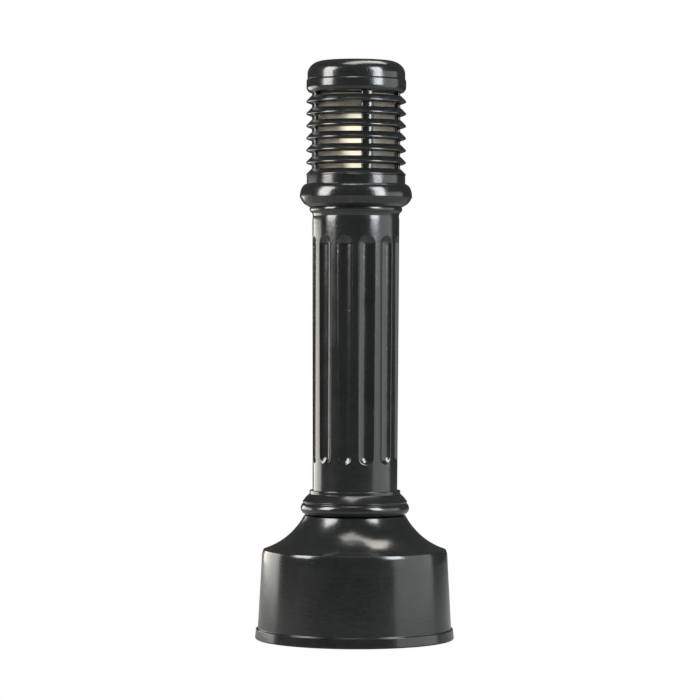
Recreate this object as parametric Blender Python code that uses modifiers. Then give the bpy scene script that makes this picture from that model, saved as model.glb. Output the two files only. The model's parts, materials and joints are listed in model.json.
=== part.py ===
"""Cast-metal bollard light with a fluted shaft and a louvred head.

Units are metres, +Z is up, and the origin is the centre of the ground ring's
underside.  The front of the bollard faces -Y.  A bearing is an angle in
degrees round the vertical axis, 0 at the front and growing towards +X.

The bollard is a stack of turned castings.  A bell-shaped base stands on the
ground and bolts down to four anchor studs.  The fluted shaft bolts onto the
base, and the head collar bolts onto the shaft.  Four tie rods clamp seven
louvre rings between the collar and the top ring, round a frosted lens.  The
cap cover lifts out of the top ring, with its reflector, to reach the lamp.
"""

from math import cos, pi, radians, sin, sqrt

import bmesh
import bpy
from mathutils import Matrix, Vector

# ---------------------------------------------------------------- dimensions

HEIGHT = 1.067              # ground to the top of the cap cover
GAP = 0.0003                # clearance between pieces that touch
MERGE = 0.00002             # weld distance of every modifier that merges

# Base casting: ground band, drum and concave cone.
GROUND_RADIUS = 0.184
BAND_TOP = 0.0185
BAND_TOP_RADIUS = 0.1823
DRUM_FOOT_RADIUS = 0.179
DRUM_TOP_RADIUS = 0.1712
DRUM_TOP = 0.158
CONE_CENTRE = (0.2094, 0.2894)
CONE_RADIUS = 0.131
CONE_START = 208.1
CONE_END = 252.0
BASE_TOP = 0.229
BASE_TOP_RADIUS = 0.0899
BASE_WALL = 0.009
BASE_EDGE = 0.001           # chamfer at the band's foot and where it meets the drum
SHELF_THICKNESS = 0.012     # anchor shelf at the ground and bolt shelf at the top
ANCHOR_SHELF_RADIUS = 0.120
ANCHOR_CIRCLE = 0.145
ANCHOR_HOLE = 0.0085
ANCHOR_RADIUS = 0.006
ANCHOR_TOP = 0.048
NUT_RADIUS = 0.011
NUT_HEIGHT = 0.012
NUT_FLANGE_RADIUS = 0.0135
NUT_FLANGE_HEIGHT = 0.0025
LUG_INNER = 0.127           # the earthing lug's two ends, from the axis
LUG_OUTER = 0.155
LUG_TOP = 0.020
LUG_HALF_WIDTH = 0.007
LUG_BORE_PLACE = 0.134
LUG_BORE = 0.0028

# Shaft casting: foot mouldings, fluted column, neck bead and top spigot.
BORE = 0.066
FOOT_TORUS_RADIUS = 0.1003
FOOT_TORUS_SECTION = 0.0118
FOOT_TORUS_Z = 0.2415
FOOT_UPPER = (0.0906, 0.2621)   # the cove between the step and the torus
FOOT_LOWER = (0.0968, 0.2540)
FOOT_SEAT_RADIUS = 0.0892
STEP_RADIUS = 0.0839
STEP_TOP = 0.2745
STEP_BOTTOM = 0.2682
COLUMN_FOOT_RADIUS = 0.0783
COLUMN_TOP_RADIUS = 0.0804
COLUMN_TOP = 0.773
SCOOP_RADIUS = 0.0796
SCOOP_Z = 0.781
SCOOP_TOP = (0.0808, 0.7855)
BEAD_RADIUS = 0.0856
BEAD_BULGE = 0.002
BEAD_BOTTOM = 0.789
BEAD_TOP = 0.7977
SPIGOT_RADIUS = 0.074
SPIGOT_TOP = 0.8357
TOP_SHELF_SLOPE = 0.004     # how far the top shelf's underside falls to the bore
HEAD_OPENING = 0.050        # way through the shaft's top shelf and the collar
FLUTES = 12
FLUTE_BOTTOM = 0.324
FLUTE_TOP = 0.743
FLUTE_RADIUS = 0.0215
FLUTE_DEPTH = 0.007
FOOT_BOLT_CIRCLE = 0.078
FOOT_BOLT_RADIUS = 0.005
FOOT_BOLT_HOLE = 0.0055     # in the base
FOOT_BOLT_BORE = 0.0053     # in the shaft
FOOT_BOLT_DEPTH = 0.252     # height that the shaft's bores reach

# Head collar under the louvres.
COLLAR_BOTTOM = BEAD_TOP + GAP
COLLAR_RADIUS = 0.1038
COLLAR_WIDEST = 0.816
COLLAR_BAND_RADIUS = 0.091
COLLAR_BAND_BOTTOM = 0.840
COLLAR_TOP = 0.8557
COLLAR_EDGE = 0.0008
COLLAR_FOOT = [(0.0999, 0.8085), (0.0953, 0.8030), (0.0887, 0.7992), (0.0872, COLLAR_BOTTOM)]
LENS_SEAT = 0.846
LENS_SEAT_RADIUS = 0.0735
COLLAR_BOLT_CIRCLE = 0.0575
COLLAR_BOLT_RADIUS = 0.004
COLLAR_BOLT_HOLE = 0.0043

# Louvre rings, whose flat posts stack on each other, and their tie rods.
# Heights in a ring's section are measured from its widest point.
RINGS = 7
RING_PITCH = 0.0225
LOWEST_TIP = 0.8568
TIP_RADIUS = 0.0921
NOSE_RADIUS = 0.003         # of the rounded tip
FIN_TOP_RADIUS = 0.083
FIN_TOP = 0.0105
FIN_INNER_RADIUS = 0.082
LIP_RADIUS = 0.0855
LIP_BOTTOM = -0.0042
LOWEST_RING_BOTTOM = -0.0005
POST_CIRCLE = 0.0781
POST_BEARING = 15.0
POST_HALF_WIDTH = 0.0115
POST_HALF_DEPTH = 0.0057
POST_SIDES = 12
OVERCUT = 0.005             # how far a bore's cutting tool runs past the metal
ROD_RADIUS = 0.003
ROD_BORE = ROD_RADIUS + 2 * GAP
ROD_OVER_SHELF = 0.0075     # how far a rod stands above the top ring's shelf
TIE_NUT_RADIUS = 0.0057
TIE_NUT_BORE = 0.0040
TIE_NUT_HEIGHT = 0.005

# Top ring and cap cover.
TOP_RING_BOTTOM = 1.008
TOP_RING_SHELF = 1.016
TOP_RING_TOP = 1.0328
TOP_RING_RADIUS = 0.0921
TOP_RING_BORE = 0.088
TOP_RING_CURVE = 0.009      # width of its rounded lower edge
TOP_RING_CURVE_TOP = 1.019
COVER_RADIUS = 0.0903
COVER_FLAT_RADIUS = 0.061
COVER_SHOULDER = 0.0245     # height of the rounded shoulder
COVER_WALL = 0.006
COVER_SPIGOT_BOTTOM = 1.025
COVER_SPIGOT_WALL = 0.004
COVER_BOSS_RADIUS = 0.008
COVER_BOSS_BORE = 0.0022
COVER_BOSS_DEPTH = 0.0132   # of the screw's bore in the boss
COVER_SCREW_Z = 1.0288
COVER_SCREW_RADIUS = 0.0025
COVER_SCREW_BEARINGS = (60, 180, 300)

# Lens, lamp and what holds them.
LENS_RADIUS = 0.071
LENS_WALL = 0.004
GASKET_THICKNESS = 0.0027
GASKET_OUTER = 0.072
GASKET_INNER = 0.0665
REFLECTOR_RADIUS = 0.0645
REFLECTOR_BORE = 0.0026
REFLECTOR_Z = 1.009
REFLECTOR_SHEET = 0.0015
BRACKET_FLOOR = 0.8215
BRACKET_SHEET = 0.0025
BRACKET_WIDTH = 0.030
BRACKET_LEG = 0.0445        # from the axis to the outside of a leg
BRACKET_REACH = 0.064
LEAD_HOLE = 0.009
SOCKET_RADIUS = 0.020
SOCKET_TOP = 0.861
SOCKET_DEPTH = 0.027
SOCKET_SHOULDER = 0.012
LAMP_RADIUS = 0.027
LAMP_WIDEST = 0.928
LAMP_TOP = 0.9745
LAMP_NECK = [(0.0255, 0.910), (0.0185, 0.884), (0.0148, 0.8675)]
LAMP_BASE_RADIUS = 0.0133
LAMP_TIP_RADIUS = 0.005
LAMP_TIP_HEIGHT = 0.006

# Control gear on its tray inside the shaft.
TRAY_WIDTH = 0.084
TRAY_FRONT = 0.012
TRAY_SHEET = 0.002
TRAY_BOTTOM = 0.440
TRAY_TOP = 0.800
TRAY_STRAP = 0.003
TRAY_STRAP_HALF = 0.012
TRAY_FOOT_BACK = 0.0625
TRAY_SCREW_X = 0.007
TRAY_SCREW_Y = 0.057
TRAY_SCREW_RADIUS = 0.0025
TRAY_SCREW_HOLE = 0.0028
TRAY_BORE_COVER = 0.0022    # metal left over the tray screws' blind bores
GEAR_BACK = TRAY_FRONT - GAP
CAN_RADIUS = 0.017
CAN_OFFSET = 0.011          # from the capacitor's middle to the centre of a rounded side
TERMINAL_TOP = 0.772
LEAD_RADIUS = 0.0015

# ------------------------------------------------------------------- set-up

for old in list(bpy.data.objects):
    bpy.data.objects.remove(old, do_unlink=True)

parts = bpy.data.collections.new("bollard_light")
tools = bpy.data.collections.new("cutters")
bpy.context.scene.collection.children.link(parts)
bpy.context.scene.collection.children.link(tools)


def finish_material(name, colour, roughness, metallic=0.0, alpha=1.0):
    """A plain finish: colour, roughness and metallic value."""
    material = bpy.data.materials.new(name)
    material.use_nodes = True
    shader = material.node_tree.nodes["Principled BSDF"]
    shader.inputs["Base Color"].default_value = (*colour, 1.0)
    shader.inputs["Roughness"].default_value = roughness
    shader.inputs["Metallic"].default_value = metallic
    shader.inputs["Alpha"].default_value = alpha
    material.diffuse_color = (*colour, alpha)
    return material


BLACK = finish_material("black_paint", (0.018, 0.020, 0.019), 0.22)
LENS = finish_material("frosted_lens", (0.80, 0.78, 0.70), 0.45)
RUBBER = finish_material("gasket_rubber", (0.03, 0.03, 0.03), 0.8)
STEEL = finish_material("bright_steel", (0.62, 0.62, 0.60), 0.35, 1.0)
GALVANISED = finish_material("galvanised_steel", (0.50, 0.51, 0.52), 0.5, 1.0)
WHITE = finish_material("white_enamel", (0.82, 0.82, 0.80), 0.3)
PORCELAIN = finish_material("porcelain", (0.86, 0.84, 0.78), 0.2)
LAMP_GLASS = finish_material("lamp_glass", (0.90, 0.90, 0.86), 0.3)
CORE = finish_material("ballast_varnish", (0.10, 0.06, 0.04), 0.5)
ALUMINIUM = finish_material("drawn_aluminium", (0.75, 0.75, 0.76), 0.35, 1.0)
PHENOLIC = finish_material("phenolic", (0.05, 0.045, 0.04), 0.5)
COPPER = finish_material("tinned_copper", (0.70, 0.42, 0.28), 0.35, 1.0)
INSULATION = finish_material("white_insulation", (0.75, 0.75, 0.72), 0.5)

# ------------------------------------------------------------------ helpers


def around(radius, bearing, z=0.0):
    """The point at a radius and bearing from the vertical axis."""
    angle = radians(bearing)
    return Vector((radius * sin(angle), -radius * cos(angle), z))


def quarter_turns(first):
    """Four bearings a quarter turn apart."""
    return [first + 90.0 * turn for turn in range(4)]


def arc(centre, radius_r, radius_z, start, end, pieces):
    """Points (r, z) along an elliptical arc, angles in degrees from +r."""
    points = []
    for step in range(pieces + 1):
        angle = radians(start + (end - start) * step / pieces)
        points.append((centre[0] + radius_r * cos(angle), centre[1] + radius_z * sin(angle)))
    return points


def put(item, collection):
    """Link an object to one of the two collections."""
    collection.objects.link(item)
    if collection == tools:
        item.hide_render = True
        item.display_type = "WIRE"
    return item


def profile_mesh(name, points, closed):
    """A polyline in the XZ plane, the section of a turned piece."""
    mesh = bpy.data.meshes.new(name)
    edges = [(index, index + 1) for index in range(len(points) - 1)]
    if closed:
        edges.append((len(points) - 1, 0))
    mesh.from_pydata([(r, 0.0, z) for r, z in points], edges, [])
    return mesh


def turned(name, points, steps, closed=True):
    """A turned piece: its section swept once round the vertical axis.

    The section runs down its outer side first.  A closed section makes a
    ring, and an open one starts and ends on the axis.
    """
    item = bpy.data.objects.new(name, profile_mesh(name, points, closed))
    put(item, parts)
    screw = item.modifiers.new("turn", "SCREW")
    screw.axis = "Z"
    screw.steps = steps
    screw.render_steps = steps
    screw.use_merge_vertices = True
    screw.merge_threshold = MERGE
    screw.use_smooth_shade = True
    return item


def mesh_object(name, mesh, collection=None):
    """A new object on a mesh."""
    return put(bpy.data.objects.new(name, mesh), collection or parts)


def from_bmesh(name, shape, collection=None):
    """A new object from a bmesh, which is freed."""
    mesh = bpy.data.meshes.new(name)
    shape.to_mesh(mesh)
    shape.free()
    return mesh_object(name, mesh, collection)


def add_box(shape, low, high):
    """Add a box between two corners to a bmesh."""
    size = Vector(high) - Vector(low)
    middle = (Vector(high) + Vector(low)) / 2
    matrix = Matrix.Translation(middle) @ Matrix.Diagonal((*size, 1.0))
    bmesh.ops.create_cube(shape, size=1.0, matrix=matrix)


def add_cylinder(shape, radius, low, high, sides, place=Vector((0, 0, 0))):
    """Add an upright cylinder to a bmesh, between two heights."""
    middle = Vector((place[0], place[1], (low + high) / 2))
    bmesh.ops.create_cone(shape, cap_ends=True, segments=sides, radius1=radius, radius2=radius,
                          depth=high - low, matrix=Matrix.Translation(middle))


def box(name, low, high, bevel=0.0, collection=None):
    """A box between two corners, with bevelled edges where asked."""
    shape = bmesh.new()
    add_box(shape, low, high)
    item = from_bmesh(name, shape, collection)
    if bevel:
        rounding = item.modifiers.new("edges", "BEVEL")
        rounding.width = bevel
        rounding.segments = 1
    return item


def upright_holes(name, radius, low, high, places, sides=10):
    """A cutter: one upright cylinder at each place."""
    shape = bmesh.new()
    for place in places:
        add_cylinder(shape, radius, low, high, sides, place)
    return from_bmesh(name, shape, tools)


def combine(item, tool, operation):
    """Cut or join an object with a tool object, by a Boolean modifier."""
    boolean = item.modifiers.new(tool.name, "BOOLEAN")
    boolean.operation = operation
    boolean.solver = "EXACT"
    boolean.object = tool
    return item


def settle(item):
    """Replace an object's modifiers with the mesh that they make."""
    graph = bpy.context.evaluated_depsgraph_get()
    mesh = bpy.data.meshes.new_from_object(item.evaluated_get(graph))
    weld = bmesh.new()
    weld.from_mesh(mesh)
    bmesh.ops.remove_doubles(weld, verts=weld.verts, dist=MERGE)
    weld.to_mesh(mesh)
    weld.free()
    settled = bpy.data.objects.new(item.name, mesh)
    settled.matrix_world = item.matrix_world
    name = item.name
    bpy.data.objects.remove(item, do_unlink=True)
    settled.name = name
    return put(settled, parts)


def paint(item, material, smooth=True):
    """Give an object its finish, shaded smooth where it is round."""
    item.data.materials.clear()
    item.data.materials.append(material)
    if smooth and isinstance(item.data, bpy.types.Mesh) and item.data.polygons:
        item.data.shade_smooth()
        item.data.set_sharp_from_angle(angle=radians(35.0))
    return item


def copies(name, pattern, places, material, turns=None):
    """Numbered objects that share one mesh, one at each place."""
    mesh = pattern.data
    bpy.data.objects.remove(pattern, do_unlink=True)
    made = []
    for number, place in enumerate(places, start=1):
        item = mesh_object(f"{name}_{number}", mesh)
        item.location = place
        if turns:
            item.rotation_euler = turns[number - 1]
        made.append(paint(item, material))
    return made


def extruded(name, outline, low, high):
    """A flat outline in X and Z, closed, with its thickness along Y."""
    curve = bpy.data.curves.new(name, "CURVE")
    curve.dimensions = "2D"
    curve.fill_mode = "BOTH"
    curve.extrude = (high - low) / 2
    spline = curve.splines.new("POLY")
    spline.points.add(len(outline) - 1)
    for point, (x, z) in zip(spline.points, outline):
        point.co = (x, z, 0.0, 1.0)
    spline.use_cyclic_u = True
    item = put(bpy.data.objects.new(name, curve), parts)
    item.matrix_world = Matrix.Translation((0, (low + high) / 2, 0)) @ Matrix.Rotation(pi / 2, 4, "X")
    bpy.context.view_layer.update()
    return settle(item)


def cap_screw(name, thread_radius, length, head_radius, head_height, sides=10):
    """A socket-head screw, its thread down from the origin and its head above."""
    recess = head_radius * 0.5
    section = [
        (0.0, head_height * 0.45),
        (recess, head_height * 0.45),
        (recess, head_height),
        (head_radius, head_height),
        (head_radius, 0.0),
        (thread_radius, 0.0),
        (thread_radius, -length),
        (0.0, -length),
    ]
    return settle(turned(name, section, sides, closed=False))


# --------------------------------------------------------------- base pieces


def make_base():
    """The bell-shaped base, open below, with a shelf for the anchors."""
    cone = arc(CONE_CENTRE, CONE_RADIUS, CONE_RADIUS, CONE_START, CONE_END, 6)
    inside = CONE_RADIUS + BASE_WALL
    inner = arc(CONE_CENTRE, inside, inside, CONE_END, CONE_START + 9, 3)
    section = [(BASE_TOP_RADIUS, BASE_TOP)]
    section += cone
    section += [
        (DRUM_TOP_RADIUS, DRUM_TOP),
        (DRUM_FOOT_RADIUS, BAND_TOP + BASE_EDGE),
        (BAND_TOP_RADIUS, BAND_TOP),
        (GROUND_RADIUS, 2 * BASE_EDGE),
        (GROUND_RADIUS - BASE_EDGE, 0.0),
        (ANCHOR_SHELF_RADIUS, 0.0),
        (ANCHOR_SHELF_RADIUS, SHELF_THICKNESS),
        (DRUM_FOOT_RADIUS - BASE_WALL, SHELF_THICKNESS),
        (DRUM_TOP_RADIUS - BASE_WALL, DRUM_TOP - BASE_WALL),
    ]
    section += inner
    section += [
        (inner[-1][0] - 0.004, BASE_TOP - SHELF_THICKNESS),
        (BORE, BASE_TOP - SHELF_THICKNESS),
        (BORE, BASE_TOP),
    ]
    base = turned("base_casting", section, 32)
    anchor_places = [around(ANCHOR_CIRCLE, bearing) for bearing in quarter_turns(45)]
    combine(base, upright_holes("anchor_holes", ANCHOR_HOLE, -0.01, 0.03, anchor_places), "DIFFERENCE")
    bolt_places = [around(FOOT_BOLT_CIRCLE, bearing) for bearing in quarter_turns(45)]
    combine(base, upright_holes("foot_holes", FOOT_BOLT_HOLE, 0.2, 0.25, bolt_places), "DIFFERENCE")
    return paint(settle(base), BLACK)


def make_anchors():
    """The part of each anchor stud above the ground, and its flange nut."""
    shape = bmesh.new()
    add_cylinder(shape, ANCHOR_RADIUS, GAP, ANCHOR_TOP, 10)
    places = [around(ANCHOR_CIRCLE, bearing) for bearing in quarter_turns(45)]
    copies("anchor_stud", from_bmesh("anchor_stud", shape), places, GALVANISED)
    shape = bmesh.new()
    add_cylinder(shape, NUT_RADIUS, 0.0, NUT_HEIGHT, 6)
    nut = from_bmesh("anchor_nut", shape)
    shape = bmesh.new()
    add_cylinder(shape, NUT_FLANGE_RADIUS, 0.0, NUT_FLANGE_HEIGHT, 16)
    combine(nut, from_bmesh("nut_flange", shape, tools), "UNION")
    bore = upright_holes("nut_bore", ANCHOR_RADIUS + GAP, -0.01, 0.02, [Vector((0, 0, 0))])
    combine(nut, bore, "DIFFERENCE")
    seats = [place + Vector((0, 0, SHELF_THICKNESS + GAP)) for place in places]
    copies("anchor_nut", settle(nut), seats, GALVANISED)


def make_ground():
    """The earthing lug on the anchor shelf, with its screw."""
    low = (-LUG_HALF_WIDTH, LUG_INNER, SHELF_THICKNESS + GAP)
    high = (LUG_HALF_WIDTH, LUG_OUTER, LUG_TOP)
    lug = box("ground_lug", low, high, 0.001)
    hole = upright_holes("lug_bore", LUG_BORE, 0.0, 0.05, [Vector((0, LUG_BORE_PLACE, 0))])
    combine(lug, hole, "DIFFERENCE")
    paint(settle(lug), COPPER, smooth=False)
    screw = cap_screw("ground_screw", 0.0024, 0.0072, 0.0045, 0.003)
    screw.location = (0, LUG_BORE_PLACE, LUG_TOP + GAP)
    paint(screw, STEEL)


# -------------------------------------------------------------- shaft pieces


def flute_cutter():
    """Twelve upright capsules that scoop the flutes out of the column."""
    shape = bmesh.new()
    wide = (COLUMN_TOP_RADIUS + COLUMN_FOOT_RADIUS) / 2
    centre = wide - FLUTE_DEPTH + FLUTE_RADIUS
    end_radius = sqrt(FLUTE_RADIUS ** 2 - (centre - wide) ** 2)
    straight = (FLUTE_TOP - FLUTE_BOTTOM) / 2 - end_radius
    middle = (FLUTE_TOP + FLUTE_BOTTOM) / 2
    flats = 5
    corner_radius = FLUTE_RADIUS / cos(pi / (2 * flats))
    for number in range(FLUTES):
        bearing = 360.0 / FLUTES * (number + 0.5)
        made = bmesh.ops.create_uvsphere(shape, u_segments=12, v_segments=flats, radius=corner_radius)
        turn = Matrix.Rotation(radians(bearing), 4, "Z")
        for vertex in made["verts"]:
            vertex.co.z += straight if vertex.co.z > 0 else -straight
            vertex.co = turn @ vertex.co + around(centre, bearing, middle)
    return from_bmesh("flute_cutter", shape, tools)


def make_shaft():
    """The fluted column, hollow, with its foot mouldings and top spigot."""
    bead = (BEAD_TOP - BEAD_BOTTOM) / 2
    section = [
        (SPIGOT_RADIUS, SPIGOT_TOP),
        (SPIGOT_RADIUS, BEAD_TOP),
    ]
    section += arc((BEAD_RADIUS - BEAD_BULGE, BEAD_BOTTOM + bead), BEAD_BULGE, bead, 90, -90, 3)
    section += [
        SCOOP_TOP,
        (SCOOP_RADIUS, SCOOP_Z),
        (COLUMN_TOP_RADIUS, COLUMN_TOP),
        (COLUMN_FOOT_RADIUS, STEP_TOP),
        (STEP_RADIUS, STEP_TOP),
        (STEP_RADIUS, STEP_BOTTOM),
        FOOT_UPPER,
        FOOT_LOWER,
    ]
    torus_centre = (FOOT_TORUS_RADIUS - FOOT_TORUS_SECTION, FOOT_TORUS_Z)
    section += arc(torus_centre, FOOT_TORUS_SECTION, FOOT_TORUS_SECTION, 55, -75, 4)
    section += [
        (FOOT_SEAT_RADIUS, BASE_TOP + GAP),
        (BORE, BASE_TOP + GAP),
        (BORE, SPIGOT_TOP - SHELF_THICKNESS - TOP_SHELF_SLOPE),
        (HEAD_OPENING, SPIGOT_TOP - SHELF_THICKNESS),
        (HEAD_OPENING, SPIGOT_TOP),
    ]
    shaft = turned("shaft_casting", section, 36)
    combine(shaft, flute_cutter(), "DIFFERENCE")
    top_places = [around(COLLAR_BOLT_CIRCLE, bearing) for bearing in quarter_turns(45)]
    combine(shaft, upright_holes("collar_bolt_bores", COLLAR_BOLT_HOLE, 0.81, 0.85, top_places), "DIFFERENCE")
    tray_places = [Vector((side * TRAY_SCREW_X, TRAY_SCREW_Y, 0)) for side in (-1, 1)]
    tray_bore_top = SPIGOT_TOP - TRAY_BORE_COVER
    tray_bores = upright_holes("tray_screw_bores", TRAY_SCREW_HOLE, 0.80, tray_bore_top, tray_places)
    combine(shaft, tray_bores, "DIFFERENCE")
    foot_places = [around(FOOT_BOLT_CIRCLE, bearing) for bearing in quarter_turns(45)]
    foot_bores = upright_holes("foot_bolt_bores", FOOT_BOLT_BORE, 0.2, FOOT_BOLT_DEPTH, foot_places)
    combine(shaft, foot_bores, "DIFFERENCE")
    return paint(settle(shaft), BLACK)


def make_foot_bolts():
    """Screws up through the base's top shelf into the shaft's foot."""
    screw = cap_screw("foot_bolt", FOOT_BOLT_RADIUS, 0.033, 0.0075, 0.008)
    seat = BASE_TOP - SHELF_THICKNESS - GAP
    places = [around(FOOT_BOLT_CIRCLE, bearing, seat) for bearing in quarter_turns(45)]
    copies("foot_bolt", screw, places, STEEL, [(pi, 0, 0)] * 4)


# --------------------------------------------------------------- head pieces


def make_collar():
    """The moulded collar between the shaft and the louvres."""
    section = [
        (COLLAR_BAND_RADIUS - COLLAR_EDGE, COLLAR_TOP),
        (COLLAR_BAND_RADIUS, COLLAR_TOP - COLLAR_EDGE),
    ]
    spread = COLLAR_RADIUS - COLLAR_BAND_RADIUS
    rise = COLLAR_BAND_BOTTOM - COLLAR_WIDEST
    section += arc((COLLAR_BAND_RADIUS, COLLAR_WIDEST), spread, rise, 90, 0, 4)
    section += COLLAR_FOOT
    section += [
        (SPIGOT_RADIUS + GAP, COLLAR_BOTTOM),
        (SPIGOT_RADIUS + GAP, SPIGOT_TOP + GAP),
        (HEAD_OPENING, SPIGOT_TOP + GAP),
        (HEAD_OPENING, LENS_SEAT),
        (LENS_SEAT_RADIUS, LENS_SEAT),
        (LENS_SEAT_RADIUS, COLLAR_TOP),
    ]
    collar = turned("head_collar", section, 36)
    bolt_places = [around(COLLAR_BOLT_CIRCLE, bearing) for bearing in quarter_turns(45)]
    combine(collar, upright_holes("collar_holes", COLLAR_BOLT_HOLE, 0.82, 0.86, bolt_places), "DIFFERENCE")
    rod_places = [around(POST_CIRCLE, bearing) for bearing in quarter_turns(POST_BEARING)]
    rod_threads = upright_holes("rod_threads", ROD_BORE, COLLAR_BAND_BOTTOM, COLLAR_TOP + OVERCUT, rod_places)
    combine(collar, rod_threads, "DIFFERENCE")
    return paint(settle(collar), BLACK)


def make_collar_bolts():
    """Screws that hold the collar, two of them through the lamp bracket."""
    screw = cap_screw("collar_bolt", COLLAR_BOLT_RADIUS, 0.021, 0.0065, 0.008)
    places = []
    for number, bearing in enumerate(quarter_turns(45)):
        sheet = BRACKET_SHEET + GAP if number % 2 == 0 else 0.0
        places.append(around(COLLAR_BOLT_CIRCLE, bearing, LENS_SEAT + GAP + sheet))
    copies("collar_bolt", screw, places, STEEL)


def post_tool(name, low, high):
    """Four upright posts of flat oval section, to join to a ring."""
    shape = bmesh.new()
    for bearing in quarter_turns(POST_BEARING):
        middle = around(POST_CIRCLE, bearing, (low + high) / 2)
        turn = Matrix.Rotation(radians(bearing), 4, "Z")
        oval = Matrix.Diagonal((POST_HALF_WIDTH, POST_HALF_DEPTH, 1.0, 1.0))
        bmesh.ops.create_cone(shape, cap_ends=True, segments=POST_SIDES, radius1=1.0, radius2=1.0,
                              depth=high - low, matrix=Matrix.Translation(middle) @ turn @ oval)
    return from_bmesh(name, shape, tools)


def ring_pattern(name, bottom, post_top):
    """A louvre ring: a wedge-shaped fin with four hollow posts cast onto it."""
    nose = (TIP_RADIUS - NOSE_RADIUS, 0.0)
    section = [(FIN_TOP_RADIUS, FIN_TOP)]
    if bottom == LIP_BOTTOM:
        section += arc(nose, NOSE_RADIUS, NOSE_RADIUS, 45, -35, 2)
        section += [(LIP_RADIUS, bottom)]
    else:
        section += arc(nose, NOSE_RADIUS, NOSE_RADIUS, 45, 0, 1)
        section += [(TIP_RADIUS, bottom)]
    inner_top = FIN_TOP - FIN_TOP_RADIUS + FIN_INNER_RADIUS
    section += [(FIN_INNER_RADIUS, bottom), (FIN_INNER_RADIUS, inner_top)]
    ring = turned(name, section, 32)
    combine(ring, post_tool(name + "_posts", bottom, post_top), "UNION")
    places = [around(POST_CIRCLE, bearing) for bearing in quarter_turns(POST_BEARING)]
    bores = upright_holes(name + "_bores", ROD_BORE, bottom - OVERCUT, post_top + OVERCUT, places, sides=6)
    combine(ring, bores, "DIFFERENCE")
    return settle(ring)


def make_rings():
    """Seven louvre rings, numbered from the top.  The lowest sits flat over the collar."""
    tips = [LOWEST_TIP + RING_PITCH * (RINGS - 1 - number) for number in range(RINGS)]
    stacked = RING_PITCH + LIP_BOTTOM - GAP
    top = ring_pattern("louvre_ring_1", LIP_BOTTOM, TOP_RING_BOTTOM - GAP - tips[0])
    top.location.z = tips[0]
    paint(top, BLACK)
    pattern = ring_pattern("ring_pattern", LIP_BOTTOM, stacked)
    mesh = pattern.data
    bpy.data.objects.remove(pattern, do_unlink=True)
    for number in range(1, RINGS - 1):
        ring = mesh_object(f"louvre_ring_{number + 1}", mesh)
        ring.location.z = tips[number]
        paint(ring, BLACK)
    lowest = ring_pattern(f"louvre_ring_{RINGS}", LOWEST_RING_BOTTOM, stacked)
    lowest.location.z = LOWEST_TIP
    paint(lowest, BLACK)


def make_tie_rods():
    """Studs through the posts, from the collar up to nuts in the top ring."""
    shape = bmesh.new()
    add_cylinder(shape, ROD_RADIUS, COLLAR_BAND_BOTTOM + GAP, TOP_RING_SHELF + ROD_OVER_SHELF, 8)
    places = [around(POST_CIRCLE, bearing) for bearing in quarter_turns(POST_BEARING)]
    copies("tie_rod", from_bmesh("tie_rod", shape), places, STEEL)
    nut = [
        (TIE_NUT_RADIUS, TIE_NUT_HEIGHT),
        (TIE_NUT_RADIUS, 0.0),
        (TIE_NUT_BORE, 0.0),
        (TIE_NUT_BORE, TIE_NUT_HEIGHT),
    ]
    seats = [place + Vector((0, 0, TOP_RING_SHELF + GAP)) for place in places]
    copies("tie_nut", settle(turned("tie_nut", nut, 6)), seats, STEEL)


def make_top_ring():
    """The ring on top of the louvres, a tray that takes the cover."""
    curve_centre = (TOP_RING_RADIUS - TOP_RING_CURVE, TOP_RING_CURVE_TOP)
    section = [
        (TOP_RING_RADIUS - 0.0016, TOP_RING_TOP),
        (TOP_RING_RADIUS, TOP_RING_TOP - 0.0022),
    ]
    section += arc(curve_centre, TOP_RING_CURVE, TOP_RING_CURVE_TOP - TOP_RING_BOTTOM, 0, -90, 3)
    section += [
        (BORE, TOP_RING_BOTTOM),
        (BORE, TOP_RING_SHELF),
        (TOP_RING_BORE, TOP_RING_SHELF),
        (TOP_RING_BORE, TOP_RING_TOP),
    ]
    ring = turned("top_ring", section, 32)
    places = [around(POST_CIRCLE, bearing) for bearing in quarter_turns(POST_BEARING)]
    low, high = TOP_RING_BOTTOM - OVERCUT, TOP_RING_SHELF + OVERCUT
    combine(ring, upright_holes("top_ring_rods", ROD_BORE, low, high, places), "DIFFERENCE")
    combine(ring, side_holes(), "DIFFERENCE")
    return paint(settle(ring), BLACK)


def radial_cylinder(shape, radius, inner, outer, bearing, z, sides=10):
    """Add a cylinder that lies along a bearing, between two radii, to a bmesh."""
    turn = Matrix.Rotation(radians(bearing), 4, "Z") @ Matrix.Rotation(pi / 2, 4, "X")
    matrix = Matrix.Translation(around((inner + outer) / 2, bearing, z)) @ turn
    bmesh.ops.create_cone(shape, cap_ends=True, segments=sides, radius1=radius, radius2=radius,
                          depth=outer - inner, matrix=matrix)


def side_holes():
    """The cutter for the three cover screws' holes."""
    shape = bmesh.new()
    for bearing in COVER_SCREW_BEARINGS:
        radial_cylinder(shape, COVER_SCREW_RADIUS + GAP, 0.080, 0.100, bearing, COVER_SCREW_Z)
    return from_bmesh("cover_screw_holes", shape, tools)


def make_cover_screws():
    """Three set screws in the top ring that grip the cover's spigot."""
    inner = TOP_RING_BORE + GAP
    outer = TOP_RING_RADIUS - 0.0008
    for number, bearing in enumerate(COVER_SCREW_BEARINGS, start=1):
        shape = bmesh.new()
        radial_cylinder(shape, COVER_SCREW_RADIUS, inner, outer, bearing, COVER_SCREW_Z)
        paint(from_bmesh(f"cover_screw_{number}", shape), STEEL)


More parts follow.
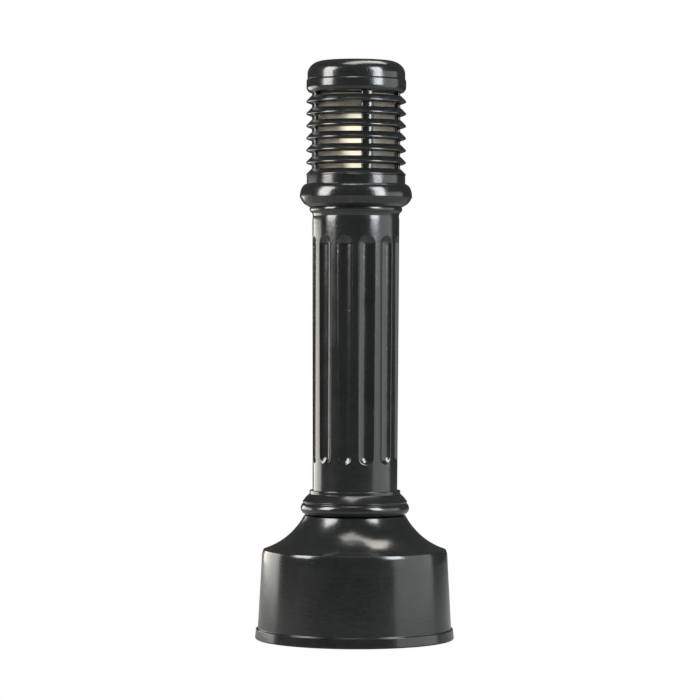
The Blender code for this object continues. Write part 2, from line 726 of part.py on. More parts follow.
def make_cover():
    """The domed cover, with a spigot into the top ring and a centre boss."""
    shoulder_base = HEIGHT - COVER_SHOULDER
    spread = COVER_RADIUS - COVER_FLAT_RADIUS
    spigot = TOP_RING_BORE - GAP
    boss_end = REFLECTOR_Z + REFLECTOR_SHEET + GAP
    section = [(0.0, HEIGHT)]
    section += arc((COVER_FLAT_RADIUS, shoulder_base), spread, COVER_SHOULDER, 90, 0, 5)
    section += [
        (COVER_RADIUS, TOP_RING_TOP + GAP),
        (spigot, TOP_RING_TOP + GAP),
        (spigot, COVER_SPIGOT_BOTTOM),
        (spigot - COVER_SPIGOT_WALL, COVER_SPIGOT_BOTTOM),
        (spigot - COVER_SPIGOT_WALL, shoulder_base),
        (COVER_FLAT_RADIUS + 0.010, HEIGHT - COVER_WALL - 0.004),
        (COVER_FLAT_RADIUS - 0.004, HEIGHT - COVER_WALL),
        (COVER_BOSS_RADIUS, HEIGHT - COVER_WALL),
        (COVER_BOSS_RADIUS, boss_end),
        (COVER_BOSS_BORE, boss_end),
        (COVER_BOSS_BORE, boss_end + COVER_BOSS_DEPTH),
        (0.0, boss_end + COVER_BOSS_DEPTH),
    ]
    return paint(settle(turned("cap_cover", section, 32, closed=False)), BLACK)


def make_reflector():
    """The white reflector under the cover, and the screw that holds it."""
    top = REFLECTOR_Z + REFLECTOR_SHEET
    plate = [
        (REFLECTOR_RADIUS, top),
        (REFLECTOR_RADIUS, REFLECTOR_Z),
        (REFLECTOR_BORE, REFLECTOR_Z),
        (REFLECTOR_BORE, top),
    ]
    paint(settle(turned("reflector_plate", plate, 24)), WHITE)
    screw = cap_screw("reflector_screw", 0.0019, 0.012, 0.0048, 0.0026)
    screw.location = (0, 0, REFLECTOR_Z - GAP)
    screw.rotation_euler = (pi, 0, 0)
    paint(screw, STEEL)


def make_lens():
    """The frosted lens between its two gaskets."""
    bottom = LENS_SEAT + GASKET_THICKNESS + 2 * GAP
    top = TOP_RING_BOTTOM - GASKET_THICKNESS - 2 * GAP
    inside = LENS_RADIUS - LENS_WALL
    tube = [(LENS_RADIUS, top), (LENS_RADIUS, bottom), (inside, bottom), (inside, top)]
    paint(settle(turned("lens", tube, 32)), LENS)
    for name, low in (("lower_gasket", LENS_SEAT + GAP), ("upper_gasket", top + GAP)):
        high = low + GASKET_THICKNESS
        ring = [(GASKET_OUTER, high), (GASKET_OUTER, low), (GASKET_INNER, low), (GASKET_INNER, high)]
        paint(settle(turned(name, ring, 24)), RUBBER)


# --------------------------------------------------------------- lamp pieces


def make_bracket():
    """The dropped strap across the collar's opening that carries the socket."""
    sheet = BRACKET_SHEET
    ear_low = LENS_SEAT + GAP
    leg = BRACKET_LEG
    half = [
        (BRACKET_REACH, ear_low + sheet),
        (BRACKET_REACH, ear_low),
        (leg, ear_low),
        (leg, BRACKET_FLOOR),
    ]
    inner = [(leg - sheet, BRACKET_FLOOR + sheet), (leg - sheet, ear_low + sheet)]
    outline = half + [(-x, z) for x, z in reversed(half)]
    outline += [(-x, z) for x, z in reversed(inner)] + inner
    bracket = extruded("socket_bracket", outline, -BRACKET_WIDTH / 2, BRACKET_WIDTH / 2)
    ends = [Vector((side * COLLAR_BOLT_CIRCLE, 0, 0)) for side in (-1, 1)]
    combine(bracket, upright_holes("bracket_holes", COLLAR_BOLT_HOLE, 0.84, 0.86, ends), "DIFFERENCE")
    combine(bracket, upright_holes("lead_hole", LEAD_HOLE, 0.81, 0.83, [Vector((0, 0, 0))]), "DIFFERENCE")
    bracket = settle(bracket)
    bracket.rotation_euler = (pi / 2, 0, radians(-45.0))
    paint(bracket, GALVANISED, smooth=False)


def make_socket():
    """The porcelain lamp socket, open at the top."""
    bottom = BRACKET_FLOOR + BRACKET_SHEET + GAP
    bore = LAMP_BASE_RADIUS + 0.0005
    section = [
        (0.0, SOCKET_TOP - SOCKET_DEPTH),
        (bore, SOCKET_TOP - SOCKET_DEPTH),
        (bore, SOCKET_TOP),
        (SOCKET_RADIUS - 0.003, SOCKET_TOP),
        (SOCKET_RADIUS - 0.001, SOCKET_TOP - SOCKET_SHOULDER),
        (SOCKET_RADIUS, bottom + SOCKET_SHOULDER),
        (SOCKET_RADIUS - 0.002, bottom),
        (0.0, bottom),
    ]
    paint(settle(turned("lamp_socket", section, 16, closed=False)), PORCELAIN)


def make_lamp():
    """The discharge lamp: a swollen bulb on a screw base."""
    base_top = SOCKET_TOP + 0.0005
    base_bottom = SOCKET_TOP - SOCKET_DEPTH + 0.0005
    section = arc((0.0, LAMP_WIDEST), LAMP_RADIUS, LAMP_TOP - LAMP_WIDEST, 90, 0, 6)
    section[0] = (0.0, LAMP_TOP)
    section += LAMP_NECK
    section += [
        (LAMP_BASE_RADIUS, base_top),
        (LAMP_BASE_RADIUS, base_bottom + LAMP_TIP_HEIGHT),
        (LAMP_TIP_RADIUS, base_bottom),
        (0.0, base_bottom),
    ]
    paint(settle(turned("lamp", section, 16, closed=False)), LAMP_GLASS)


# --------------------------------------------------------------- control gear


def make_tray():
    """The gear tray: a plate on a strap that bends back under the shelf."""
    plate = box("gear_tray", (-TRAY_WIDTH / 2, TRAY_FRONT, TRAY_BOTTOM),
                (TRAY_WIDTH / 2, TRAY_FRONT + TRAY_SHEET, TRAY_TOP))
    strap = bmesh.new()
    top = SPIGOT_TOP - SHELF_THICKNESS - 0.0045
    half = TRAY_STRAP_HALF
    front = TRAY_FRONT + 0.0005
    add_box(strap, (-half, front, TRAY_BOTTOM + 0.05), (half, front + TRAY_STRAP, top))
    combine(plate, from_bmesh("tray_strap", strap, tools), "UNION")
    foot = bmesh.new()
    add_box(foot, (-half, front + 0.0005, top - TRAY_STRAP), (half, TRAY_FOOT_BACK, top - 0.0002))
    combine(plate, from_bmesh("tray_foot", foot, tools), "UNION")
    places = [Vector((side * TRAY_SCREW_X, TRAY_SCREW_Y, 0)) for side in (-1, 1)]
    combine(plate, upright_holes("tray_holes", TRAY_SCREW_HOLE, 0.80, 0.83, places), "DIFFERENCE")
    paint(settle(plate), GALVANISED, smooth=False)
    screw = cap_screw("tray_screw", TRAY_SCREW_RADIUS, 0.014, 0.0045, 0.003)
    seats = [place + Vector((0, 0, top - TRAY_STRAP - GAP)) for place in places]
    copies("tray_screw", screw, seats, STEEL, [(pi, 0, 0)] * 2)


def make_gear():
    """Ballast, capacitor, ignitor and terminal block on the front of the tray."""
    back = GEAR_BACK
    ballast = box("ballast", (-0.031, back - 0.048, 0.466), (0.031, back, 0.536), 0.001)
    coil = box("ballast_coil", (-0.019, back - 0.042, 0.452), (0.019, back - 0.004, 0.550), 0.004, tools)
    combine(ballast, coil, "UNION")
    paint(settle(ballast), CORE, smooth=False)

    can = arc((CAN_OFFSET, 0.0), CAN_RADIUS, CAN_RADIUS, 90, -90, 8)
    outline = can + [(-x, -z) for x, z in can]
    capacitor = extruded("capacitor", outline, -0.040, 0.040)
    capacitor.rotation_euler = (0, 0, 0)
    capacitor.location = (0, back - CAN_RADIUS, 0.615)
    paint(capacitor, ALUMINIUM)

    ignitor = box("ignitor", (-0.020, back - 0.028, 0.676), (0.020, back, 0.728), 0.002)
    paint(settle(ignitor), PHENOLIC, smooth=False)

    block = box("terminal_block", (-0.028, back - 0.018, 0.750), (0.028, back, TERMINAL_TOP), 0.001)
    slots = bmesh.new()
    for number in range(3):
        x = (number - 1) * 0.017
        add_box(slots, (x - 0.005, back - 0.030, 0.756), (x + 0.005, back - 0.010, 0.766))
    combine(block, from_bmesh("terminal_slots", slots, tools), "DIFFERENCE")
    paint(settle(block), PHENOLIC, smooth=False)


def make_leads():
    """Two leads from the terminal block up to the lamp socket."""
    start_z = TERMINAL_TOP + GAP
    end_z = BRACKET_FLOOR + BRACKET_SHEET
    points_along = 7
    for number, side in enumerate((-1, 1), start=1):
        start = Vector((side * 0.010, TRAY_FRONT - 0.009, start_z))
        end = Vector((side * 0.004, 0.0, end_z))
        curve = bpy.data.curves.new(f"socket_lead_{number}", "CURVE")
        curve.dimensions = "3D"
        curve.bevel_depth = LEAD_RADIUS
        curve.bevel_resolution = 1
        curve.use_fill_caps = True
        spline = curve.splines.new("POLY")
        spline.points.add(points_along - 1)
        for index, point in enumerate(spline.points):
            along = index / (points_along - 1)
            ease = along * along * (3 - 2 * along)
            place = start.lerp(end, ease)
            place.x += side * 0.006 * sin(pi * along) ** 2
            place.z = start_z + (end_z - start_z) * along
            point.co = (*place, 1.0)
        lead = put(bpy.data.objects.new(curve.name, curve), parts)
        bpy.context.view_layer.update()
        paint(settle(lead), INSULATION)


# -------------------------------------------------------------------- build

make_base()
make_anchors()
make_ground()
make_shaft()
make_foot_bolts()
make_collar()
make_collar_bolts()
make_rings()
make_tie_rods()
make_top_ring()
make_cover_screws()
make_cover()
make_reflector()
make_lens()
make_bracket()
make_socket()
make_lamp()
make_tray()
make_gear()
make_leads()
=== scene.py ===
"""The looks of the bollard light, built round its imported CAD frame.

Units are metres, +Z is up and the front faces -Y.  A bearing is an angle in
degrees round the vertical axis, 0 at the front and growing towards +X.
Round castings are turned again as fine meshes inside the CAD pieces that
they stand for.  The fasteners and the control gear stay as CAD nodes.
"""

import json
from math import cos, hypot, pi, radians, sin, sqrt, tan

import bmesh
import bpy
from mathutils import Matrix, Vector


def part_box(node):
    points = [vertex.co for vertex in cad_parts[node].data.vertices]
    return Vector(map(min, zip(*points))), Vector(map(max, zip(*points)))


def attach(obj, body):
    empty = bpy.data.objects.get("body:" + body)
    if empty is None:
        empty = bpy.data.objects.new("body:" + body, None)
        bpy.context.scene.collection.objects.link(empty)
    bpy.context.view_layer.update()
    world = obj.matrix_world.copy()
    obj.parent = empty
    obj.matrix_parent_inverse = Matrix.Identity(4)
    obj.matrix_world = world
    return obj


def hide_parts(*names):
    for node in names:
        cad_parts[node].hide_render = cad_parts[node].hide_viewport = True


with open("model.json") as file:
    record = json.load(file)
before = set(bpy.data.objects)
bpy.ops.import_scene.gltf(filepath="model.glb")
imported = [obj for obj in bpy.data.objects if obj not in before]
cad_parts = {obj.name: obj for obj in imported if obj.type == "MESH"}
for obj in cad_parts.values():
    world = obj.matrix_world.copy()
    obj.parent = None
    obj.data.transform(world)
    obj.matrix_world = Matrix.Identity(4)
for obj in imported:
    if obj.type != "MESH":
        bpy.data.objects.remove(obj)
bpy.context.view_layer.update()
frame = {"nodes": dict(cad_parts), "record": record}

# ------------------------------------------------------- sizes from the frame


def reach(node):
    """Outer radius, bottom and top of a turned CAD node."""
    low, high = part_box(node)
    return high.y, low.z, high.z


BASE_RADIUS, GROUND, BASE_TOP = reach("base_casting")
_, SHAFT_BOTTOM, SHAFT_TOP = reach("shaft_casting")
COLLAR_RADIUS, COLLAR_BOTTOM, COLLAR_TOP = reach("head_collar")
TIP_RADIUS, TOP_RING_BOTTOM, TOP_RING_TOP = reach("top_ring")
COVER_RADIUS, _, COVER_TOP = reach("cap_cover")
LENS_RADIUS, LENS_BOTTOM, LENS_TOP = reach("lens")
_, LAMP_BOTTOM, LAMP_TOP = reach("lamp")
_, SOCKET_BOTTOM, SOCKET_TOP = reach("lamp_socket")
_, PLATE_BOTTOM, PLATE_TOP = reach("reflector_plate")

GAP = 0.0003                # clearance that the CAD keeps between pieces
BORE = 0.066                # inside the base's top, the shaft and the top ring
FINE = 192                  # steps round a large turned piece
RINGS = 7
RING_NODES = [f"louvre_ring_{number + 1}" for number in range(RINGS)]
TIP_ABOVE_LIP = 0.0042      # from a ring's bottom up to its widest point
TIP_ABOVE_FLAT = 0.0005     # the same on the lowest ring, which has no lip
POST_CIRCLE = 0.0781
POST_BEARING = 15.0
POST_HALF_WIDTH = 0.0115
POST_HALF_DEPTH = 0.0057
POST_BORE = 0.0036
FLUTES = 12
FLUTE_BOTTOM = 0.324
FLUTE_TOP = 0.743
FLUTE_RADIUS = 0.0215
FLUTE_CENTRE = 0.09385      # from the column's axis to a flute cutter's axis
FLUTE_EDGE = 0.0006         # how far the flutes' edges are rounded over
COLUMN_BOTTOM = 0.2745
COLUMN_TOP = 0.773
COLUMN_FOOT_RADIUS = 0.0783
COLUMN_HEAD_RADIUS = 0.0804
COLUMN_MIDDLE_RADIUS = (COLUMN_FOOT_RADIUS + COLUMN_HEAD_RADIUS) / 2
SPIGOT_RADIUS = 0.074       # of the shaft's top, inside the collar
HEAD_BORE = 0.050           # the way through the spigot and the collar
LENS_BORE = 0.067
EDGE_ANGLE = radians(50.0)  # edges sharper than this are not shaded smooth

# ------------------------------------------------------------ shape helpers


def around(radius, bearing, z=0.0):
    """The point at a radius and bearing from the vertical axis."""
    angle = radians(bearing)
    return Vector((radius * sin(angle), -radius * cos(angle), z))


def quarter_turns(first):
    """Four bearings a quarter turn apart."""
    return [first + 90.0 * turn for turn in range(4)]


def even_bearings(steps):
    """Bearings evenly spaced round a full turn."""
    return [360.0 * step / steps for step in range(steps)]


def arc(centre, radius_r, radius_z, start, end, pieces=24):
    """Points (r, z) along an elliptical arc, angles in degrees from +r."""
    points = []
    for step in range(pieces + 1):
        angle = radians(start + (end - start) * step / pieces)
        points.append((centre[0] + radius_r * cos(angle), centre[1] + radius_z * sin(angle)))
    return points


def straight(start, end, pieces):
    """Points (r, z) along a straight line, both ends included."""
    first = Vector(start)
    return [tuple(first.lerp(Vector(end), step / pieces)) for step in range(pieces + 1)]


def softened(section, radius, closed=True, pieces=4):
    """A section with its sharp corners rounded off."""
    sharp = radians(20)
    most = 0.45             # the share of an edge that one corner may take
    rounded = []
    count = len(section)
    for index, point in enumerate(section):
        corner = Vector(point)
        end_point = not closed and index in (0, count - 1)
        before = Vector(section[index - 1]) - corner
        after = Vector(section[(index + 1) % count]) - corner
        bend = 0.0 if end_point else pi - before.angle(after)
        if bend < sharp:
            rounded.append(point)
            continue
        cut = min(radius * tan(bend / 2), most * before.length, most * after.length)
        start = corner + before.normalized() * cut
        end = corner + after.normalized() * cut
        for step in range(pieces + 1):
            along = step / pieces
            rounded.append(tuple(start.lerp(corner, along).lerp(corner.lerp(end, along), along)))
    return rounded


def sweep(shape, section, bearings, closed=True, centre=Vector((0, 0, 0)), relief=None):
    """Add a section swept once round an upright axis to a bmesh.

    relief, where given, takes (r, z, bearing) and returns the radius to use.
    """
    rings = []
    for r, z in section:
        ring = []
        for bearing in bearings:
            radius = relief(r, z, bearing) if relief else r
            ring.append(shape.verts.new(centre + around(radius, bearing, z)))
        rings.append(ring)
    pairs = list(zip(rings, rings[1:]))
    if closed:
        pairs.append((rings[-1], rings[0]))
    count = len(bearings)
    for upper, lower in pairs:
        for step in range(count):
            after = (step + 1) % count
            shape.faces.new((upper[step], lower[step], lower[after], upper[after]))


def finished(name, shape, material, body, node):
    """A visible piece made from a bmesh, in place of one CAD node."""
    bmesh.ops.remove_doubles(shape, verts=shape.verts, dist=0.000001)
    bmesh.ops.recalc_face_normals(shape, faces=shape.faces)
    mesh = bpy.data.meshes.new(name)
    shape.to_mesh(mesh)
    shape.free()
    mesh.materials.append(material)
    mesh.shade_smooth()
    mesh.set_sharp_from_angle(angle=EDGE_ANGLE)
    piece = bpy.data.objects.new(name, mesh)
    bpy.context.scene.collection.objects.link(piece)
    weighted = piece.modifiers.new("even_shading", "WEIGHTED_NORMAL")
    weighted.keep_sharp = True
    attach(piece, body)
    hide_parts(node)
    return piece


def turned_piece(node, section, material, body="post", steps=FINE, closed=True, edge=0.0006):
    """A fine turned piece in place of one turned CAD node."""
    shape = bmesh.new()
    sweep(shape, softened(section, edge, closed), even_bearings(steps), closed)
    return finished(node + "_fine", shape, material, body, node)


# ---------------------------------------------------------- material helpers


class Finish:
    """A node tree that is built one step at a time."""

    def __init__(self, name):
        self.material = bpy.data.materials.new(name)
        self.material.use_nodes = True
        self.nodes = self.material.node_tree.nodes
        self.links = self.material.node_tree.links
        self.shader = self.nodes["Principled BSDF"]
        self.place = self.nodes.new("ShaderNodeTexCoord").outputs["Object"]

    def join(self, source, target):
        """Link an output to an input, or set the input to a plain value."""
        if isinstance(source, bpy.types.NodeSocket):
            self.links.new(source, target)
        else:
            target.default_value = source

    def stretch(self, scale):
        """The surface place with each axis scaled."""
        mapping = self.nodes.new("ShaderNodeMapping")
        mapping.inputs["Scale"].default_value = scale
        self.links.new(self.place, mapping.inputs["Vector"])
        return mapping.outputs["Vector"]

    def noise(self, scale, detail=4.0, roughness=0.55, place=None, distortion=0.0):
        """A cloud pattern."""
        node = self.nodes.new("ShaderNodeTexNoise")
        node.inputs["Scale"].default_value = scale
        node.inputs["Detail"].default_value = detail
        node.inputs["Roughness"].default_value = roughness
        node.inputs["Distortion"].default_value = distortion
        self.links.new(place or self.place, node.inputs["Vector"])
        return node.outputs["Fac"]

    def cells(self, scale, place=None):
        """Distance to the nearest of many scattered points."""
        node = self.nodes.new("ShaderNodeTexVoronoi")
        node.inputs["Scale"].default_value = scale
        self.links.new(place or self.place, node.inputs["Vector"])
        return node.outputs["Distance"]

    def spread(self, value, low, high, to_low=0.0, to_high=1.0):
        """A value stretched from one range to another, and held inside it."""
        node = self.nodes.new("ShaderNodeMapRange")
        node.inputs["From Min"].default_value = low
        node.inputs["From Max"].default_value = high
        node.inputs["To Min"].default_value = to_low
        node.inputs["To Max"].default_value = to_high
        self.links.new(value, node.inputs["Value"])
        return node.outputs["Result"]

    def work(self, operation, first, second):
        """One step of arithmetic."""
        node = self.nodes.new("ShaderNodeMath")
        node.operation = operation
        self.join(first, node.inputs[0])
        self.join(second, node.inputs[1])
        return node.outputs["Value"]

    def blend(self, amount, first, second):
        """A colour between two others."""
        node = self.nodes.new("ShaderNodeMix")
        node.data_type = "RGBA"
        self.join(amount, node.inputs["Factor"])
        self.join(first, node.inputs[6])
        self.join(second, node.inputs[7])
        return node.outputs[2]

    def edges(self, low=0.52, high=0.62):
        """Worn outer edges, broken up by a cloud pattern."""
        geometry = self.nodes.new("ShaderNodeNewGeometry")
        sharp = self.spread(geometry.outputs["Pointiness"], low, high)
        return self.work("MULTIPLY", sharp, self.spread(self.noise(70.0), 0.42, 0.62))

    def bump(self, height, distance, strength=1.0, normal=None):
        """Raise the surface by a height pattern."""
        node = self.nodes.new("ShaderNodeBump")
        node.inputs["Distance"].default_value = distance
        node.inputs["Strength"].default_value = strength
        self.links.new(height, node.inputs["Height"])
        if normal:
            self.links.new(normal, node.inputs["Normal"])
        return node.outputs["Normal"]

    def set(self, **sockets):
        """Feed the shader's sockets, named with _ for a space."""
        for name, value in sockets.items():
            self.join(value, self.shader.inputs[name.replace("_", " ")])
        return self.material


def colour(red, green, blue):
    """An opaque colour."""
    return (red, green, blue, 1.0)


def black_paint():
    """Glossy near-black enamel over cast aluminium."""
    finish = Finish("black_enamel")
    broad = finish.spread(finish.noise(9.0, 5.0), 0.35, 0.65)
    mottle = finish.spread(finish.noise(130.0, 6.0, 0.65), 0.35, 0.65)
    base = finish.blend(broad, colour(0.007, 0.008, 0.0075), colour(0.012, 0.0135, 0.0125))
    base = finish.blend(finish.work("MULTIPLY", mottle, 0.5), base, colour(0.018, 0.020, 0.018))
    dust = finish.spread(finish.noise(420.0, 3.0, 0.7), 0.62, 0.78)
    base = finish.blend(finish.work("MULTIPLY", dust, 0.30), base, colour(0.06, 0.06, 0.055))
    worn = finish.edges()
    base = finish.blend(finish.work("MULTIPLY", worn, 0.45), base, colour(0.085, 0.088, 0.083))
    gloss = finish.spread(finish.noise(24.0, 5.0, 0.6), 0.3, 0.7, 0.14, 0.24)
    gloss = finish.work("ADD", gloss, finish.work("MULTIPLY", worn, 0.15))
    skin = finish.noise(150.0, 4.0, 0.6)
    grain = finish.noise(700.0, 2.0, 0.6)
    pits = finish.spread(finish.cells(85.0), 0.05, 0.16)
    normal = finish.bump(skin, 0.0006, 0.35)
    normal = finish.bump(grain, 0.00012, 0.35, normal)
    normal = finish.bump(pits, 0.0004, 0.35, normal)
    return finish.set(
        Base_Color=base,
        Roughness=gloss,
        Normal=normal,
        Coat_Weight=0.35,
        Coat_Roughness=0.12,
    )


def frosted_lens():
    """A frosted cream lens that passes soft light."""
    finish = Finish("frosted_cream")
    cloud = finish.spread(finish.noise(26.0, 4.0), 0.3, 0.7)
    base = finish.blend(cloud, colour(0.66, 0.62, 0.54), colour(0.76, 0.72, 0.64))
    streak = finish.spread(finish.noise(60.0, 4.0, 0.6, finish.stretch((1.0, 1.0, 0.12))), 0.55, 0.8)
    base = finish.blend(finish.work("MULTIPLY", streak, 0.3), base, colour(0.62, 0.56, 0.45))
    frost = finish.spread(finish.noise(300.0, 3.0), 0.3, 0.7, 0.40, 0.50)
    normal = finish.bump(finish.noise(500.0, 3.0), 0.0001, 0.4)
    return finish.set(
        Base_Color=base,
        Roughness=frost,
        Normal=normal,
        Transmission_Weight=0.88,
        IOR=1.35,
    )


def lamp_glass():
    """The lamp's white-coated bulb, with a low warm glow."""
    finish = Finish("coated_bulb")
    cloud = finish.spread(finish.noise(60.0, 3.0), 0.3, 0.7)
    base = finish.blend(cloud, colour(0.86, 0.83, 0.76), colour(0.92, 0.90, 0.85))
    glow = finish.blend(cloud, colour(1.0, 0.95, 0.85), colour(1.0, 0.98, 0.91))
    gloss = finish.spread(finish.noise(200.0, 3.0), 0.3, 0.7, 0.18, 0.30)
    normal = finish.bump(finish.noise(220.0, 2.0), 0.0001, 0.3)
    return finish.set(
        Base_Color=base,
        Roughness=gloss,
        Normal=normal,
        Emission_Color=glow,
        Emission_Strength=1.9,
    )


def plain_finish(name, dark, light, gloss, metallic=0.0, size=40.0, depth=0.0002,
                 grain=(1.0, 1.0, 1.0), wear=None):
    """A finish with colour clouds, uneven gloss, fine grain and worn edges."""
    finish = Finish(name)
    place = finish.stretch(grain)
    cloud = finish.spread(finish.noise(size, 5.0, 0.6, place), 0.32, 0.68)
    fine = finish.noise(size * 9.0, 4.0, 0.6, place)
    base = finish.blend(cloud, colour(*dark), colour(*light))
    speck = finish.work("MULTIPLY", finish.spread(fine, 0.5, 0.8), 0.4)
    base = finish.blend(speck, base, colour(*[channel * 0.6 for channel in dark]))
    if wear:
        base = finish.blend(finish.edges(), base, colour(*wear))
    rough = finish.spread(finish.noise(size * 2.0, 4.0, 0.6, place), 0.3, 0.7, gloss[0], gloss[1])
    normal = finish.bump(fine, depth, 0.5)
    return finish.set(Base_Color=base, Roughness=rough, Normal=normal, Metallic=metallic)


BLACK = black_paint()
FINISHES = {
    "black_paint": BLACK,
    "frosted_lens": frosted_lens(),
    "lamp_glass": lamp_glass(),
    "gasket_rubber": plain_finish(
        "moulded_rubber", (0.018, 0.018, 0.017), (0.035, 0.034, 0.032), (0.65, 0.85), size=60.0),
    "bright_steel": plain_finish(
        "turned_steel", (0.50, 0.50, 0.49), (0.68, 0.68, 0.66), (0.22, 0.42), 1.0, 150.0, 0.00008),
    "galvanised_steel": plain_finish(
        "zinc_spangle", (0.42, 0.43, 0.44), (0.60, 0.61, 0.62), (0.38, 0.60), 1.0, 90.0, 0.00012,
        wear=(0.34, 0.31, 0.28)),
    "white_enamel": plain_finish(
        "white_enamel", (0.74, 0.74, 0.71), (0.84, 0.84, 0.82), (0.22, 0.38), size=30.0, depth=0.0001,
        wear=(0.55, 0.54, 0.50)),
    "porcelain": plain_finish(
        "glazed_porcelain", (0.80, 0.77, 0.69), (0.88, 0.86, 0.80), (0.12, 0.24), size=50.0, depth=0.00006),
    "ballast_varnish": plain_finish(
        "varnished_core", (0.060, 0.034, 0.022), (0.120, 0.072, 0.046), (0.32, 0.55), size=70.0,
        grain=(0.2, 0.2, 3.0), wear=(0.20, 0.16, 0.13)),
    "drawn_aluminium": plain_finish(
        "drawn_aluminium", (0.62, 0.62, 0.63), (0.78, 0.78, 0.79), (0.25, 0.42), 1.0, 60.0, 0.00006,
        grain=(1.0, 0.08, 1.0)),
    "phenolic": plain_finish(
        "moulded_phenolic", (0.030, 0.026, 0.022), (0.062, 0.054, 0.046), (0.35, 0.55), size=50.0,
        wear=(0.12, 0.10, 0.09)),
    "tinned_copper": plain_finish(
        "tinned_copper", (0.58, 0.36, 0.25), (0.74, 0.52, 0.38), (0.28, 0.48), 1.0, 120.0, 0.00008,
        wear=(0.80, 0.60, 0.46)),
    "white_insulation": plain_finish(
        "silicone_sleeve", (0.66, 0.65, 0.60), (0.78, 0.77, 0.73), (0.42, 0.60), size=80.0, depth=0.00008),
}

# ----------------------------------------------------------------- castings


def make_base():
    """The bell-shaped base: ground band, drum, shoulder and concave cone."""
    cone_centre = (0.2094, 0.2894)
    cone_radius = 0.131
    cone_top = 208.1
    cone_foot = 252.0
    inner_top = 217.1
    wall = 0.009
    flange_bore = 0.120
    flange = 0.012
    shelf = BASE_TOP - 0.012
    drum_top = (0.1712, 0.158)
    drum_foot = (0.179, 0.0195)
    section = [(0.0899, BASE_TOP)]
    section += arc(cone_centre, cone_radius, cone_radius, cone_top, cone_foot, 36)
    section += straight(drum_top, drum_foot, 8)
    section += [
        (0.1823, 0.0185),
        (BASE_RADIUS, 0.002),
        (BASE_RADIUS - 0.001, GROUND),
        (flange_bore, GROUND),
        (flange_bore, flange),
        (drum_foot[0] - wall, flange),
        (drum_top[0] - wall, drum_top[1] - wall),
    ]
    inner = arc(cone_centre, cone_radius + wall, cone_radius + wall, cone_foot, inner_top, 24)
    section += inner + [(inner[-1][0] - 0.004, shelf), (BORE, shelf), (BORE, BASE_TOP)]
    return turned_piece("base_casting", section, BLACK, steps=256, edge=0.0012)


def flute_relief(r, z, bearing):
    """The column's radius where a flute is scooped out of it."""
    if not COLUMN_BOTTOM < z < COLUMN_TOP or r < BORE + 0.005:
        return r
    pitch = 360.0 / FLUTES
    across = radians(bearing % pitch - pitch / 2)
    half_width = sqrt(FLUTE_RADIUS ** 2 - (FLUTE_CENTRE - COLUMN_MIDDLE_RADIUS) ** 2)
    over = max(FLUTE_BOTTOM + half_width - z, z - FLUTE_TOP + half_width, 0.0)
    inside = FLUTE_RADIUS ** 2 - (FLUTE_CENTRE * sin(across)) ** 2 - over ** 2
    if inside <= 0.0:
        return r
    scoop = FLUTE_CENTRE * cos(across) - sqrt(inside)
    mix = max(FLUTE_EDGE * 2 - abs(scoop - r), 0.0) / (FLUTE_EDGE * 2)
    return min(scoop, r) - mix * mix * FLUTE_EDGE / 2


def flute_bearings():
    """Bearings round the column, close together at the flutes' edges."""
    pitch = 360.0 / FLUTES
    half = [1.5 * step for step in range(5)]
    half += [7.2, 8.2, 8.8, 9.3, 9.7, 10.0, 10.3, 10.6, 10.9, 11.3, 11.9, 12.9, 14.0]
    across = [-value for value in reversed(half[1:])] + half
    return [pitch * (number + 0.5) + value for number in range(FLUTES) for value in across]


def make_shaft():
    """The fluted column with its foot mouldings, neck bead and top spigot."""
    bead = (0.0836, 0.79335)
    foot = (COLUMN_FOOT_RADIUS, COLUMN_BOTTOM)
    head = (COLUMN_HEAD_RADIUS, COLUMN_TOP)

    def column_point(z):
        along = (z - foot[1]) / (head[1] - foot[1])
        return (foot[0] + (head[0] - foot[0]) * along, z)

    end = 0.020
    heights = [FLUTE_TOP + 0.003 - (end + 0.003) * step / 36 for step in range(37)]
    heights += [FLUTE_TOP - end - (FLUTE_TOP - FLUTE_BOTTOM - 2 * end) * step / 12 for step in range(1, 12)]
    heights += [FLUTE_BOTTOM + end - (end + 0.003) * step / 36 for step in range(37)]
    section = [(SPIGOT_RADIUS, SHAFT_TOP), (SPIGOT_RADIUS, bead[1] + 0.00435)]
    section += arc(bead, 0.002, 0.00435, 90, -90, 12)
    section += [(0.0808, 0.7855), (0.0796, 0.781), head]
    section += [column_point(z) for z in heights]
    section += [foot, (0.0839, COLUMN_BOTTOM), (0.0839, 0.2682), (0.0906, 0.2621), (0.0968, 0.2540)]
    section += arc((0.0885, 0.2415), 0.0118, 0.0118, 55, -75, 24)
    section += [(0.0892, SHAFT_BOTTOM), (BORE, SHAFT_BOTTOM), (BORE, 0.8197)]
    section += [(HEAD_BORE, 0.8237), (HEAD_BORE, SHAFT_TOP)]
    shape = bmesh.new()
    sweep(shape, softened(section, 0.0008), flute_bearings(), relief=flute_relief)
    return finished("shaft_casting_fine", shape, BLACK, "post", "shaft_casting")


def make_collar():
    """The wide moulding and band under the louvres."""
    overhang = 0.0128
    chamfer = 0.0008
    lens_seat = 0.846
    lens_seat_radius = 0.0735
    skirt_bore = SPIGOT_RADIUS + GAP
    band = COLLAR_RADIUS - overhang
    section = [(band - chamfer, COLLAR_TOP), (band, COLLAR_TOP - chamfer)]
    section += arc((band, 0.816), overhang, 0.024, 90, 0, 24)
    section += [
        (0.0999, 0.8085),
        (0.0953, 0.8030),
        (0.0887, 0.7992),
        (0.0872, COLLAR_BOTTOM),
        (skirt_bore, COLLAR_BOTTOM),
        (skirt_bore, SHAFT_TOP + GAP),
        (HEAD_BORE, SHAFT_TOP + GAP),
        (HEAD_BORE, lens_seat),
        (lens_seat_radius, lens_seat),
        (lens_seat_radius, COLLAR_TOP),
    ]
    return turned_piece("head_collar", section, BLACK)


